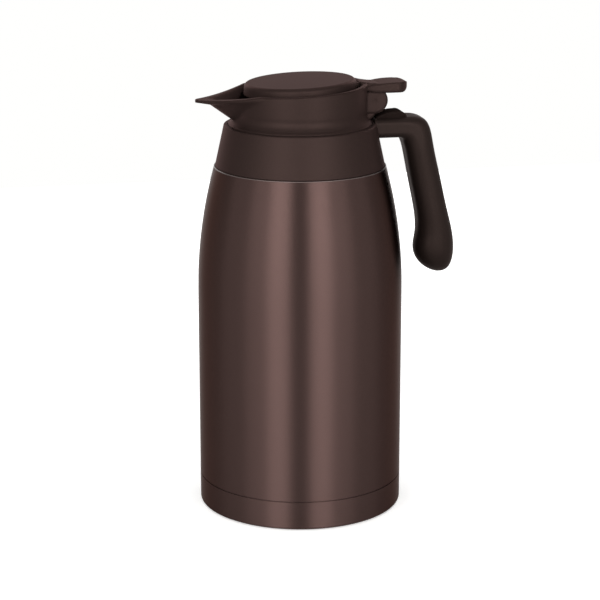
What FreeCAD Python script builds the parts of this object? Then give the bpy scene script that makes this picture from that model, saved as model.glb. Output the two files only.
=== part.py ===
import FreeCAD, Part
import math
import os

os.makedirs("parts", exist_ok=True)
V = FreeCAD.Vector
UP = V(0, 0, 1)
ALONG_Y = V(0, 1, 0)
ALONG_X = V(1, 0, 0)

# A double-walled steel jug with a tipping cap on its pouring lid. Millimetres, +Z up,
# origin on the jug's axis at the plane it stands on, handle along +X and spout along -X.

# Steel body
BODY_RADIUS = 70.0
STRAIGHT_TOP = 151.7
SHOULDER_RISE = 85.0
SEAM_INSET = 11.6
OUTER_WALL = 0.6
LEDGE_WIDTH = 3.2
EDGE_ROUND = 0.6
BASE_BAND = 20.0
BASE_GROOVE = 0.8
BASE_CORNER = 2.0
FOOT_WIDTH = 6.0
FOOT_RECESS = 2.5
SHELL_FOOT = 4.2
SHEET_FIT = 0.1
SEAM_RADIUS = BODY_RADIUS - SEAM_INSET
SEAM_HEIGHT = STRAIGHT_TOP + SHOULDER_RISE
SHELL_LOW_RADIUS = BODY_RADIUS - OUTER_WALL - SHEET_FIT
LEDGE_TOP = SEAM_HEIGHT + EDGE_ROUND
LEDGE_INNER = SEAM_RADIUS - EDGE_ROUND - LEDGE_WIDTH

# Collar on the ledge
COLLAR_STEP = 0.8
COLLAR_TAPER = 5.9
COLLAR_RISE = 28.9
COLLAR_EDGE = 1.2
COLLAR_RIM = 2.7
SEAM_GAP = 0.15
BODY_CLEARANCE = 0.4
NECK_CLEARANCE = 0.35
GASKET_WIDTH = 1.7
GASKET_HEIGHT = 1.8
COLLAR_FOOT_RADIUS = SEAM_RADIUS - COLLAR_STEP
COLLAR_TOP_RADIUS = COLLAR_FOOT_RADIUS - COLLAR_TAPER
COLLAR_FOOT = LEDGE_TOP + SEAM_GAP
COLLAR_TOP = SEAM_HEIGHT + COLLAR_RISE
RECESS_RADIUS = COLLAR_TOP_RADIUS - COLLAR_RIM

# Lid wall, flared foot and floor
LID_FLARE = 3.6
LID_WALL = 2.8
LID_FLANGE_HEIGHT = 2.0
LID_FLARE_HEIGHT = 9.0
LID_SKIRT = 2.4
LID_FLOOR = 2.4
FLOOR_FILLET = 2.0
RIM_RISE = 25.0
RIM_SLOPE = 0.048
LID_FLANGE_RADIUS = RECESS_RADIUS - BODY_CLEARANCE
LID_RADIUS = LID_FLANGE_RADIUS - LID_FLARE
CHAMBER_RADIUS = LID_RADIUS - LID_WALL
RIM_HEIGHT = COLLAR_TOP + RIM_RISE
ABOVE_ALL = RIM_HEIGHT + RIM_RISE

# Inner vessel and what lies in the vacuum space
MOUTH_INSET = 8.5
MOUTH_DEPTH = 3.6
NECK_STRAIGHT = 8.5
INNER_WALL = 0.5
VACUUM_GAP = 6.0
FLASK_BOTTOM = 14.0
FLASK_CORNER = 18.0
FLASK_SHOULDER_DROP = 8.7
WELD_GAP = 0.05
BOTTOM_FLANGE = 8.0
DIMPLE_RADIUS = 10.0
DIMPLE_RISE = 2.0
PORT_RADIUS = 1.5
SEAL_PLATE_RADIUS = 7.0
SEAL_PLATE_THICKNESS = 0.8
GETTER_RADIUS = 5.0
GETTER_HEIGHT = 2.5
GETTER_OFFSET = 30.0
FOIL_THICKNESS = 0.3
FOIL_GAP = 0.3
FOIL_MARGIN = 4.0
MOUTH_RADIUS = LID_RADIUS - MOUTH_INSET
MOUTH_HEIGHT = COLLAR_TOP - MOUTH_DEPTH
FLASK_SHOULDER_HEIGHT = SEAM_HEIGHT - FLASK_SHOULDER_DROP
NECK_INNER = MOUTH_RADIUS + INNER_WALL + WELD_GAP
NECK_OUTER = NECK_INNER + OUTER_WALL
NECK_FOOT = MOUTH_HEIGHT - NECK_STRAIGHT

# Spout, measured outwards from the lid's wall and down from its own sloping rim
SPOUT_LENGTH = 26.3
SPOUT_TIP_DROP = 6.6
SPOUT_START_INSET = 9.2
SPOUT_SAG = 1.3
TIP_THICKNESS = 1.7
TIP_RADIUS = 6.0
CHIN_BACK = 3.5
CHIN_DROP = 2.7
LIP_BACK = 9.6
LIP_DROP = 4.6
LIP_RADIUS = 9.0
SPOUT_FOOT_RADIUS = 22.0
SPOUT_FOOT_RISE = 4.8
SPOUT_WALL = 2.0
TROUGH_WALL = 2.6
WALL_OVERLAP = 0.05
SPOUT_REACH = LID_RADIUS + SPOUT_LENGTH
SPOUT_START = CHAMBER_RADIUS - SPOUT_START_INSET
SPOUT_TIP_TOP = RIM_HEIGHT - SPOUT_TIP_DROP

# Stopper tube with the pouring seat
TUBE_CLEARANCE = 0.4
TUBE_WALL = 2.7
TUBE_DEPTH = 18.0
TUBE_RIM = 6.1
TUBE_FLANGE = 2.6
STOPPER_GASKET = 1.7
SEAL_CLEARANCE = 0.3
SEAT_DROP = 15.6
TUBE_RADIUS = MOUTH_RADIUS - TUBE_CLEARANCE
TUBE_BORE = TUBE_RADIUS - TUBE_WALL
TUBE_FLANGE_RADIUS = TUBE_RADIUS + TUBE_RIM
GASKET_BOTTOM = MOUTH_HEIGHT + SEAL_CLEARANCE
TUBE_FLANGE_BOTTOM = GASKET_BOTTOM + STOPPER_GASKET
LID_FOOT = TUBE_FLANGE_BOTTOM
RECESS_FLOOR = LID_FOOT - BODY_CLEARANCE
FLOOR_BOTTOM = TUBE_FLANGE_BOTTOM + TUBE_FLANGE
FLOOR_TOP = FLOOR_BOTTOM + LID_FLOOR

# Cap that tips, its heights measured from the rim plane
CAP_SIDE_GAP = 4.0
CAP_DRAFT = 0.6
CAP_EDGE = 3.2
CAP_SHOULDER = 2.2
CAP_TOP = 4.4
CAP_CROWN = 0.25
CAP_SKIRT = 3.0
CAP_GAP = 0.5
CAP_WALL = 1.8
LINER_WALL = 1.2
BOWL_INSET = 6.0
BOWL_TAPER = 2.0
SEAL_WIDTH = 4.2
SEAL_HEIGHT = 2.3
SEAL_TONGUE = 0.9
RETAINER_THICKNESS = 1.2
CAP_RADIUS = CHAMBER_RADIUS - CAP_SIDE_GAP
CAP_SHOULDER_RADIUS = CAP_RADIUS - CAP_DRAFT
CAP_TOP_RADIUS = CAP_SHOULDER_RADIUS - CAP_EDGE
LINER_RADIUS = CAP_RADIUS - CAP_WALL - BODY_CLEARANCE
SEAL_RADIUS = TUBE_RADIUS - SHEET_FIT
SEAL_TONGUE_RADIUS = SEAL_RADIUS - 1.5 * SEAL_WIDTH
BOWL_RADIUS = SEAL_RADIUS - BOWL_INSET
BOWL_TOP_RADIUS = BOWL_RADIUS - BOWL_TAPER
RETAINER_RADIUS = SEAL_RADIUS - SEAL_WIDTH - BODY_CLEARANCE
SEAL_BOTTOM = SEAL_CLEARANCE - SEAT_DROP
SEAL_TOP = SEAL_BOTTOM + SEAL_HEIGHT

# Hinge behind the lid's wall
PIVOT_OUT = 5.2
PIVOT_DROP = 10.1
EAR_RADIUS = 8.8
EAR_INNER = 4.9
EAR_OUTER = 7.6
EAR_WEB_RISE = 2.5
PIN_RADIUS = 1.75
PIN_FIT = 0.02
PIN_RUNNING = 0.08
PIN_COVER = 1.0
SIDE_CLEARANCE = 0.3
KNUCKLE_RADIUS = 4.6
KNUCKLE_INNER = 2.6
KNUCKLE_WEB_HALF = 3.45
SPRING_WIRE = 0.35
SPRING_RADIUS = 2.9
SPRING_PITCH = 1.2
SPRING_TURNS = 3.25
SPRING_LONG_LEG = 8.2
PIVOT_X = LID_RADIUS + PIVOT_OUT
PIVOT_Z = RIM_HEIGHT - PIVOT_DROP

# Thumb lever, its heights measured from the lid's rim on the axis
LEVER_LENGTH = 23.5
LEVER_CORNER = 5.6
LEVER_RISE = 2.3
LEVER_NECK_INSET = 2.5
LEVER_NECK_DROP = 0.4
LEVER_DROP = 4.5
LEVER_NECK_DEPTH = 3.0
LEVER_NECK_HALF = 9.5
LEVER_HALF = 11.8
LEVER_ROUND = 7.3
LEVER_DISH = 0.5
TONGUE_BACK = 3.5
TONGUE_LENGTH = 9.0
TONGUE_HALF = 8.0
TONGUE_THICKNESS = 2.8
NOTCH_CLEARANCE = 0.6
SCREW_RADIUS = 1.2
SCREW_HEAD_RADIUS = 2.3
SCREW_HEAD = 1.2
SCREW_INSET = 3.0
SCREW_SPACING = 10.0
SCREW_FIT = 0.05
LEVER_END = PIVOT_X + LEVER_LENGTH
LEVER_TOP = RIM_HEIGHT + LEVER_RISE
LEVER_NECK_X = LID_RADIUS - LEVER_NECK_INSET
LEVER_NECK_TOP = RIM_HEIGHT - LEVER_NECK_DROP
LEVER_UNDERSIDE = RIM_HEIGHT - LEVER_DROP
LEVER_NECK_UNDERSIDE = RIM_HEIGHT - LEVER_NECK_DEPTH
TONGUE_END = LEVER_NECK_X - TONGUE_BACK
TONGUE_START = TONGUE_END - TONGUE_LENGTH

# Handle, measured outwards from the collar's rim and down from the arm's top
ARM_RISE = 2.6
ARM_HEIGHT = 13.2
ARM_WIDTH = 25.0
ROOT_DEPTH = 5.7
ARM_OUT = 4.3
ARM_FAR_OUT = 16.3
BEND_OUT = 26.6
BEND_DROP = 9.6
BEND_THICKNESS = 21.2
BEND_WIDTH = 26.0
GRIP_OUT = 30.1
GRIP_DROP = 19.0
GRIP_LEAN = 10.4
GRIP_LENGTH = 48.2
GRIP_TOP_THICKNESS = 19.8
GRIP_THICKNESS = 20.4
GRIP_LOW_THICKNESS = 21.4
GRIP_WIDTH = 27.0
BULB_OUT = 2.2
BULB_DROP = 25.5
BULB_THICKNESS = 28.0
BULB_SHOULDER = 10.0
BULB_TAPER = 2.4
BULB_END = 17.3
BULB_HOOK = 4.2
ARM_SOFTNESS = 0.6
BEND_SOFTNESS = 0.8
GRIP_SOFTNESS = 0.94
HANDLE_FIT = 0.05
HANDLE_SCREW_RADIUS = 1.8
HANDLE_SCREW_HEAD_RADIUS = 2.8
HANDLE_SCREW_RISE = 3.2
HANDLE_SCREW_HEAD = 2.4
HANDLE_SCREW_LENGTH = 22.0
HANDLE_SCREW_SPACING = 13.0
ARM_TOP = COLLAR_TOP + ARM_RISE
GRIP_TOP_X = COLLAR_TOP_RADIUS + GRIP_OUT
GRIP_TOP_Z = ARM_TOP - GRIP_DROP
GRIP_LOW_X = GRIP_TOP_X + GRIP_LEAN
GRIP_LOW_Z = GRIP_TOP_Z - GRIP_LENGTH
BULB_X = GRIP_LOW_X + BULB_OUT
BULB_Z = GRIP_LOW_Z - BULB_DROP

# Stop pad on the handle's root
PAD_INSET = 0.4
PAD_LENGTH = 21.1
PAD_HIGH_POINT = 14.6
PAD_START_RISE = 0.7
PAD_RISE = 4.3
PAD_BULGE = 0.55
PAD_END_RISE = 1.2
PAD_HALF = 8.0
PAD_DEPTH = 2.5
PAD_ROUND = 1.2
PAD_START = COLLAR_TOP_RADIUS - PAD_INSET
PAD_END = PAD_START + PAD_LENGTH
PAD_TOP = ARM_TOP + PAD_RISE


def face_of(start, *steps):
    """Face in the XZ plane. A step is a point, or a pair: a point on an arc and the arc's end."""
    edges = []
    here = V(start[0], 0, start[1])
    for step in steps + (start,):
        if isinstance(step[0], tuple):
            middle, end = (V(p[0], 0, p[1]) for p in step)
            edges.append(Part.Arc(here, middle, end).toShape())
        else:
            end = V(step[0], 0, step[1])
            edges.append(Part.makeLine(here, end))
        here = end
    return Part.Face(Part.Wire(edges))


def turned(start, *steps):
    """Solid of revolution about the jug's axis."""
    return face_of(start, *steps).revolve(V(), UP, 360)


def ring(inner, outer, bottom, top):
    """Plain ring about the jug's axis."""
    return turned((inner, bottom), (outer, bottom), (outer, top), (inner, top))


def prism(half_width, start, *steps):
    """Side outline drawn out to both sides of the plane of symmetry."""
    face = face_of(start, *steps)
    face.translate(V(0, -half_width, 0))
    return face.extrude(V(0, 2 * half_width, 0))


def rod_y(radius, start, end, x=PIVOT_X, z=PIVOT_Z):
    """Round bar across the jug, by default on the hinge axis."""
    return Part.makeCylinder(radius, end - start, V(x, start, z), ALONG_Y)


def on_both_sides(shape):
    """The shape and its mirror image across the plane of symmetry."""
    return [shape, shape.mirror(V(), ALONG_Y)]


def tilted(shape):
    """Sets a shape drawn about the rim plane into the lid, rising towards the handle."""
    shape.translate(V(0, 0, RIM_HEIGHT))
    shape.rotate(V(0, 0, RIM_HEIGHT), ALONG_Y, -math.degrees(math.atan(RIM_SLOPE)))
    return shape


def rim_at(x):
    """Height of the lid's rim plane."""
    return RIM_HEIGHT + RIM_SLOPE * x


def shoulder(inset, bottom, top_height):
    """Shoulder arc parallel to the body's own: its middle and end as (radius, height)."""
    drop = BODY_RADIUS - SEAM_RADIUS
    rise = SEAM_HEIGHT - STRAIGHT_TOP
    radius = (drop ** 2 + rise ** 2) / (2 * drop)
    centre = BODY_RADIUS - radius
    own = radius - inset
    points = []
    for share in (0.5, 1.0):
        height = bottom + (top_height - bottom) * share
        points.append((centre + math.sqrt(own ** 2 - (height - STRAIGHT_TOP) ** 2), height))
    return tuple(points)


# Steel body
def make_outer_shell():
    groove_top = BASE_BAND + BASE_GROOVE / 2
    jog = BODY_RADIUS - SHELL_LOW_RADIUS
    low_inside = SHELL_LOW_RADIUS - OUTER_WALL
    bend = EDGE_ROUND * math.sqrt(0.5)
    edge = (SEAM_RADIUS - EDGE_ROUND + bend, SEAM_HEIGHT + bend)
    inside = shoulder(OUTER_WALL, SEAM_HEIGHT, STRAIGHT_TOP)
    inside_start = shoulder(OUTER_WALL, STRAIGHT_TOP, SEAM_HEIGHT)[1]
    return turned(
        (SHELL_LOW_RADIUS, SHELL_FOOT),
        (SHELL_LOW_RADIUS, groove_top - jog),
        (BODY_RADIUS, groove_top),
        (BODY_RADIUS, STRAIGHT_TOP),
        shoulder(0, STRAIGHT_TOP, SEAM_HEIGHT),
        (edge, (SEAM_RADIUS - EDGE_ROUND, LEDGE_TOP)),
        (LEDGE_INNER, LEDGE_TOP),
        (LEDGE_INNER, LEDGE_TOP - OUTER_WALL),
        inside_start,
        inside,
        (BODY_RADIUS - OUTER_WALL, groove_top),
        (low_inside, groove_top - jog),
        (low_inside, SHELL_FOOT),
    )


def make_shell_neck():
    """Cone and sleeve welded into the shell's ledge, which carry the flask's mouth."""
    rim = LEDGE_INNER - WELD_GAP
    foot = min(LEDGE_TOP + rim - NECK_OUTER, NECK_FOOT)
    cone_wall = OUTER_WALL * math.sqrt(2)
    return turned(
        (rim, LEDGE_TOP),
        (NECK_OUTER, foot),
        (NECK_OUTER, MOUTH_HEIGHT),
        (NECK_INNER, MOUTH_HEIGHT),
        (NECK_INNER, foot - cone_wall + OUTER_WALL),
        (rim, LEDGE_TOP - OUTER_WALL),
    )


def make_base_cap():
    top = BASE_BAND - BASE_GROOVE / 2
    inside = BODY_RADIUS - OUTER_WALL
    bend = BASE_CORNER * (1 - math.sqrt(0.5))
    inner_bend = bend + OUTER_WALL * math.sqrt(0.5)
    foot_outer = BODY_RADIUS - BASE_CORNER
    foot_inner = foot_outer - FOOT_WIDTH
    recess = foot_inner - FOOT_RECESS
    return turned(
        (0, FOOT_RECESS),
        (recess, FOOT_RECESS),
        (foot_inner, 0),
        (foot_outer, 0),
        ((BODY_RADIUS - bend, bend), (BODY_RADIUS, BASE_CORNER)),
        (BODY_RADIUS, top),
        (inside, top),
        (inside, BASE_CORNER),
        ((BODY_RADIUS - inner_bend, inner_bend), (foot_outer, OUTER_WALL)),
        (foot_inner + OUTER_WALL, OUTER_WALL),
        (recess + OUTER_WALL, FOOT_RECESS + OUTER_WALL),
        (0, FOOT_RECESS + OUTER_WALL),
    )


def make_outer_bottom():
    outside = SHELL_LOW_RADIUS - OUTER_WALL - SHEET_FIT
    plate = SHELL_FOOT + OUTER_WALL
    dimple = SHELL_FOOT + DIMPLE_RISE
    return turned(
        (PORT_RADIUS, dimple),
        (DIMPLE_RADIUS, dimple),
        (DIMPLE_RADIUS + DIMPLE_RISE, SHELL_FOOT),
        (outside, SHELL_FOOT),
        (outside, SHELL_FOOT + BOTTOM_FLANGE),
        (outside - OUTER_WALL, SHELL_FOOT + BOTTOM_FLANGE),
        (outside - OUTER_WALL, plate),
        (DIMPLE_RADIUS + DIMPLE_RISE + OUTER_WALL / 2, plate),
        (DIMPLE_RADIUS + OUTER_WALL / 2, dimple + OUTER_WALL),
        (PORT_RADIUS, dimple + OUTER_WALL),
    )


def make_vacuum_seal():
    top = SHELL_FOOT + DIMPLE_RISE - WELD_GAP
    return ring(0, SEAL_PLATE_RADIUS, top - SEAL_PLATE_THICKNESS, top)


def make_getter():
    floor = SHELL_FOOT + OUTER_WALL + WELD_GAP
    return Part.makeCylinder(GETTER_RADIUS, GETTER_HEIGHT, V(GETTER_OFFSET, 0, floor))


def flask_outline(inset):
    """Outline of the inner vessel from its bottom to its mouth, moved inwards by the inset."""
    wall = BODY_RADIUS - OUTER_WALL - VACUUM_GAP - inset
    bottom = FLASK_BOTTOM + inset
    corner = FLASK_CORNER - inset
    bend = corner * (1 - math.sqrt(0.5))
    gap = OUTER_WALL + VACUUM_GAP + inset
    neck = MOUTH_RADIUS + INNER_WALL - inset
    shoulder_top = shoulder(gap, STRAIGHT_TOP, FLASK_SHOULDER_HEIGHT)
    return [
        (0, bottom),
        (wall - corner, bottom),
        ((wall - bend, bottom + bend), (wall, bottom + corner)),
        (wall, STRAIGHT_TOP),
        shoulder_top,
        (neck, FLASK_SHOULDER_HEIGHT + shoulder_top[1][0] - neck),
        (neck, MOUTH_HEIGHT),
    ]


def make_inner_flask():
    top = (0, FLASK_SHOULDER_HEIGHT)
    solid = turned(*flask_outline(0)[:-2], top)
    return solid.cut(turned(*flask_outline(INNER_WALL)[:-2], top))


def make_flask_neck():
    """Cone and mouth of the inner vessel, welded to its shoulder."""
    shoulder_out, cone_out, mouth_out = flask_outline(0)[-3:]
    shoulder_in, cone_in, mouth_in = flask_outline(INNER_WALL)[-3:]
    start = FLASK_SHOULDER_HEIGHT + WELD_GAP
    return turned(
        (shoulder_in[1][0], start), (shoulder_out[1][0], start),
        (cone_out[0], cone_out[1] + WELD_GAP), mouth_out,
        mouth_in, (cone_in[0], cone_in[1] + WELD_GAP),
    )


def make_foil_wrap():
    inner = BODY_RADIUS - OUTER_WALL - VACUUM_GAP + FOIL_GAP
    low = FLASK_BOTTOM + FLASK_CORNER + FOIL_MARGIN
    return ring(inner, inner + FOIL_THICKNESS, low, STRAIGHT_TOP - FOIL_MARGIN)


# Collar and handle
def collar_outline(inset):
    """Outer face of the collar from its foot to its rim, moved outwards by the inset."""
    bend = COLLAR_EDGE * (1 - math.sqrt(0.5))
    rim_outer = COLLAR_TOP_RADIUS - COLLAR_EDGE
    return [
        (COLLAR_FOOT_RADIUS + inset, COLLAR_FOOT),
        (COLLAR_TOP_RADIUS + inset, COLLAR_TOP - COLLAR_EDGE),
        ((COLLAR_TOP_RADIUS - bend + inset, COLLAR_TOP - bend), (rim_outer + inset, COLLAR_TOP)),
    ]


def make_collar():
    bore = NECK_OUTER + NECK_CLEARANCE
    socket = TUBE_FLANGE_RADIUS + BODY_CLEARANCE
    socket_floor = MOUTH_HEIGHT - BODY_CLEARANCE
    gasket_inner = LEDGE_INNER + NECK_CLEARANCE
    gasket_outer = gasket_inner + GASKET_WIDTH + SHEET_FIT
    gasket_top = LEDGE_TOP + GASKET_HEIGHT
    cone_foot = gasket_inner + SHEET_FIT
    cone_rise = cone_foot - bore
    body = turned(
        *collar_outline(0),
        (RECESS_RADIUS, COLLAR_TOP),
        (RECESS_RADIUS, RECESS_FLOOR),
        (socket, RECESS_FLOOR),
        (socket, socket_floor),
        (bore, socket_floor),
        (bore, min(gasket_top + cone_rise, NECK_FOOT)),
        (cone_foot, gasket_top),
        (gasket_outer, gasket_top),
        (gasket_outer, COLLAR_FOOT),
    )
    for hole in handle_screw_solids(SCREW_FIT, MOUTH_RADIUS):
        body = body.cut(hole)
    return body


def make_collar_gasket():
    inner = LEDGE_INNER + NECK_CLEARANCE
    bottom = LEDGE_TOP + WELD_GAP
    return ring(inner, inner + GASKET_WIDTH, bottom, LEDGE_TOP + GASKET_HEIGHT - WELD_GAP)


def handle_screw_solids(extra, head_start):
    """The two handle screws, grown by a fit, with heads that begin at the given radius."""
    height = ARM_TOP - ARM_HEIGHT + HANDLE_SCREW_RISE
    seat = NECK_OUTER + NECK_CLEARANCE + HANDLE_SCREW_HEAD
    screws = []
    for side in (-1, 1):
        y = side * HANDLE_SCREW_SPACING / 2
        head_length = seat - head_start
        head = Part.makeCylinder(
            HANDLE_SCREW_HEAD_RADIUS + extra, head_length, V(head_start, y, height), ALONG_X)
        shank = Part.makeCylinder(
            HANDLE_SCREW_RADIUS + extra, HANDLE_SCREW_LENGTH + extra, V(seat, y, height), ALONG_X)
        screws.append(head.fuse(shank).removeSplitter())
    return screws


def make_handle_screws():
    return Part.makeCompound(handle_screw_solids(0, NECK_OUTER + NECK_CLEARANCE + SHEET_FIT))


def handle_section(x, z, turn, thickness, width, softness):
    """Rounded outline across the handle, centred at (x, z), for a handle that runs at an angle."""
    corner = softness * min(thickness, width) / 2
    half_t = thickness / 2
    half_w = width / 2
    bend = corner * (1 - math.sqrt(0.5))
    edges = []
    for a, b in ((1, 1), (-1, 1), (-1, -1), (1, -1)):
        first = V(0, a * half_w, b * (half_t - corner))
        last = V(0, a * (half_w - corner), b * half_t)
        middle = V(0, a * (half_w - bend), b * (half_t - bend))
        if a * b < 0:
            first, last = last, first
        edges.append((first, middle, last))
    wire_edges = []
    for index, (first, middle, last) in enumerate(edges):
        wire_edges.append(Part.Arc(first, middle, last).toShape())
        wire_edges.append(Part.makeLine(last, edges[(index + 1) % 4][0]))
    wire = Part.Wire(wire_edges)
    wire.rotate(V(), ALONG_Y, -turn)
    wire.translate(V(x, 0, z))
    return wire


def make_handle():
    arm_middle = ARM_TOP - ARM_HEIGHT / 2
    arm_root = COLLAR_TOP_RADIUS - ROOT_DEPTH
    arm_near = COLLAR_TOP_RADIUS + ARM_OUT
    arm_far = COLLAR_TOP_RADIUS + ARM_FAR_OUT
    grip_turn = math.degrees(math.atan(GRIP_LEAN / GRIP_LENGTH)) - 90
    grip_middle_x = (GRIP_TOP_X + GRIP_LOW_X) / 2
    grip_middle_z = (GRIP_TOP_Z + GRIP_LOW_Z) / 2
    bulb_turn = (grip_turn - 3 * 90) / 4
    swell = BULB_THICKNESS - BULB_TAPER
    arm_sections = [
        handle_section(x, arm_middle, 0, ARM_HEIGHT, ARM_WIDTH, ARM_SOFTNESS)
        for x in (arm_root, arm_near, arm_far)
    ]
    sections = arm_sections + [
        handle_section(COLLAR_TOP_RADIUS + BEND_OUT, ARM_TOP - BEND_DROP, -45,
                       BEND_THICKNESS, BEND_WIDTH, BEND_SOFTNESS),
        handle_section(GRIP_TOP_X, GRIP_TOP_Z, grip_turn, GRIP_TOP_THICKNESS, GRIP_WIDTH, GRIP_SOFTNESS),
        handle_section(grip_middle_x, grip_middle_z, grip_turn, GRIP_THICKNESS, GRIP_WIDTH, GRIP_SOFTNESS),
        handle_section(GRIP_LOW_X, GRIP_LOW_Z, grip_turn, GRIP_LOW_THICKNESS, GRIP_WIDTH, GRIP_SOFTNESS),
        handle_section(BULB_X, BULB_Z + BULB_SHOULDER, bulb_turn, swell, GRIP_WIDTH, GRIP_SOFTNESS),
        handle_section(BULB_X, BULB_Z, -90, BULB_THICKNESS, GRIP_WIDTH, GRIP_SOFTNESS),
    ]
    for step in (0.5, 0.8, 0.95, 0.999):
        shrink = math.sqrt(1 - step ** 2)
        sections.append(handle_section(
            BULB_X + BULB_HOOK * step ** 2, BULB_Z - BULB_END * step, -90,
            BULB_THICKNESS * shrink, GRIP_WIDTH * shrink, GRIP_SOFTNESS))
    # The arm is straight: the sections before its end only steer the curve of the bend.
    arm = Part.Face(arm_sections[-1]).extrude(V(arm_root - arm_far, 0, 0))
    below_arm = ARM_TOP - 2 * ARM_HEIGHT
    before_bend = prism(ARM_WIDTH, (0, below_arm), (arm_far, below_arm), (arm_far, ABOVE_ALL), (0, ABOVE_ALL))
    solid = Part.makeLoft(sections, True, False).cut(before_bend).fuse(arm)
    rim = COLLAR_TOP_RADIUS - COLLAR_EDGE + HANDLE_FIT
    inside = turned((0, COLLAR_FOOT), *collar_outline(HANDLE_FIT), (rim, ABOVE_ALL), (0, ABOVE_ALL))
    solid = solid.cut(inside)
    solid = solid.cut(stop_pad(HANDLE_FIT))
    for hole in handle_screw_solids(SCREW_FIT, MOUTH_RADIUS):
        solid = solid.cut(hole)
    return solid


def stop_pad(extra):
    """Pad on the handle's root, grown by a fit: it rises from the collar and drops at a round end."""
    base = ARM_TOP - PAD_DEPTH - extra
    start = PAD_START - extra
    end = PAD_END + extra
    peak = PAD_START + PAD_HIGH_POINT
    low = ARM_TOP + PAD_START_RISE
    end_height = ARM_TOP + PAD_END_RISE
    bend = math.sqrt(0.5)
    rise_middle = ((start + peak) / 2, low + (PAD_TOP - low) * (0.5 + PAD_BULGE / 2))
    drop_middle = (peak + (end - peak) * bend, end_height + (PAD_TOP - end_height) * bend)
    return prism(
        PAD_HALF + extra,
        (start, base),
        (end, base),
        (end, end_height),
        (drop_middle, (peak, PAD_TOP)),
        (rise_middle, (start, low)),
    )


def make_stop_pad():
    pad = stop_pad(0)
    top_edges = [e for e in pad.Edges if e.BoundBox.YLength < PAD_ROUND < e.BoundBox.XLength
                 and e.BoundBox.ZMax > ARM_TOP]
    return pad.makeFillet(PAD_ROUND, top_edges)


# Lid with its spout
def beak_outline(base, reach, tip_radius, slope, tip_height):
    """Round wall with a pointed beak along -X, on a plane that drops to the beak's tip."""
    lean = math.atan(slope)
    centre = reach / math.cos(lean) - tip_radius
    angle = math.acos((base - tip_radius) / centre)
    ca, sa = math.cos(angle), math.sin(angle)
    wall = [V(-base * ca, side * base * sa, 0) for side in (1, -1)]
    tip = [V(-centre - tip_radius * ca, side * tip_radius * sa, 0) for side in (1, -1)]
    wire = Part.Wire([
        Part.Arc(wall[1], V(base, 0, 0), wall[0]).toShape(),
        Part.makeLine(wall[0], tip[0]),
        Part.Arc(tip[0], V(-centre - tip_radius, 0, 0), tip[1]).toShape(),
        Part.makeLine(tip[1], wall[1]),
    ])
    wire.rotate(V(), ALONG_Y, -math.degrees(lean))
    wire.translate(V(0, 0, tip_height + slope * reach))
    return wire


def beak(base, wall, lift):
    """Beak that grows out of a round wall, made smaller all round by a wall and set higher by a lift."""
    slope = (rim_at(-SPOUT_START) - SPOUT_TIP_TOP) / (SPOUT_REACH - SPOUT_START)
    foot = LID_FOOT + SPOUT_FOOT_RISE + lift
    tip = SPOUT_TIP_TOP + lift
    sections = [beak_outline(base, base + BODY_CLEARANCE, SPOUT_FOOT_RADIUS - wall, 0, foot)]
    for back, drop, radius in (
            (LIP_BACK, LIP_DROP, LIP_RADIUS),
            (CHIN_BACK, CHIN_DROP, LIP_RADIUS),
            (0, TIP_THICKNESS, TIP_RADIUS),
            (0, -RIM_RISE, TIP_RADIUS)):
        reach = SPOUT_REACH - back - wall
        height = tip + slope * (back + wall) - drop
        sections.append(beak_outline(base, reach, radius - wall, slope, height))
    return Part.makeLoft(sections, True, True)


def above_rim():
    """Everything above the lid's rim, which slopes and then drops along the spout."""
    start = (-SPOUT_START, rim_at(-SPOUT_START))
    end = (-SPOUT_REACH - BODY_CLEARANCE, SPOUT_TIP_TOP)
    middle = ((start[0] + end[0]) / 2, (start[1] + end[1]) / 2 - SPOUT_SAG)
    far = LID_FLANGE_RADIUS + LID_RADIUS
    top = ABOVE_ALL + 2 * RIM_RISE
    return prism(far, (far, rim_at(far)), (far, top), (end[0], top), end, (middle, start))


def make_lid_ring():
    flange_top = LID_FOOT + LID_FLANGE_HEIGHT
    flare_top = flange_top + LID_FLARE_HEIGHT
    bend = 1 - math.sqrt(0.5)
    skirt = LID_FLANGE_RADIUS - LID_SKIRT
    wall = turned(
        (TUBE_RADIUS + SHEET_FIT, FLOOR_BOTTOM),
        (skirt, FLOOR_BOTTOM),
        (skirt, LID_FOOT),
        (LID_FLANGE_RADIUS, LID_FOOT),
        (LID_FLANGE_RADIUS, flange_top),
        ((LID_RADIUS + LID_FLARE * bend, flange_top + LID_FLARE_HEIGHT * bend), (LID_RADIUS, flare_top)),
        (LID_RADIUS, ABOVE_ALL),
        (TUBE_RADIUS + SHEET_FIT, ABOVE_ALL),
    )
    floor_bend = FLOOR_FILLET * bend
    fillet_top = FLOOR_TOP + FLOOR_FILLET
    chamber = turned(
        (0, FLOOR_TOP),
        (CHAMBER_RADIUS - FLOOR_FILLET, FLOOR_TOP),
        ((CHAMBER_RADIUS - floor_bend, FLOOR_TOP + floor_bend), (CHAMBER_RADIUS, fillet_top)),
        (CHAMBER_RADIUS, ABOVE_ALL + RIM_RISE),
        (0, ABOVE_ALL + RIM_RISE),
    )
    body = wall.fuse(beak(LID_RADIUS - WALL_OVERLAP, 0, 0))
    for part in make_ears():
        body = body.fuse(part)
    body = body.cut(chamber)
    body = body.cut(beak(CHAMBER_RADIUS - WALL_OVERLAP, SPOUT_WALL, TROUGH_WALL))
    body = body.cut(Part.makeCylinder(TUBE_RADIUS + SHEET_FIT, RIM_HEIGHT))
    body = body.cut(above_rim())
    body = body.cut(lever_notch())
    body = body.cut(rod_y(PIN_RADIUS + PIN_FIT, -EAR_OUTER + PIN_COVER, EAR_OUTER + SIDE_CLEARANCE))
    return body.removeSplitter()


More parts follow.
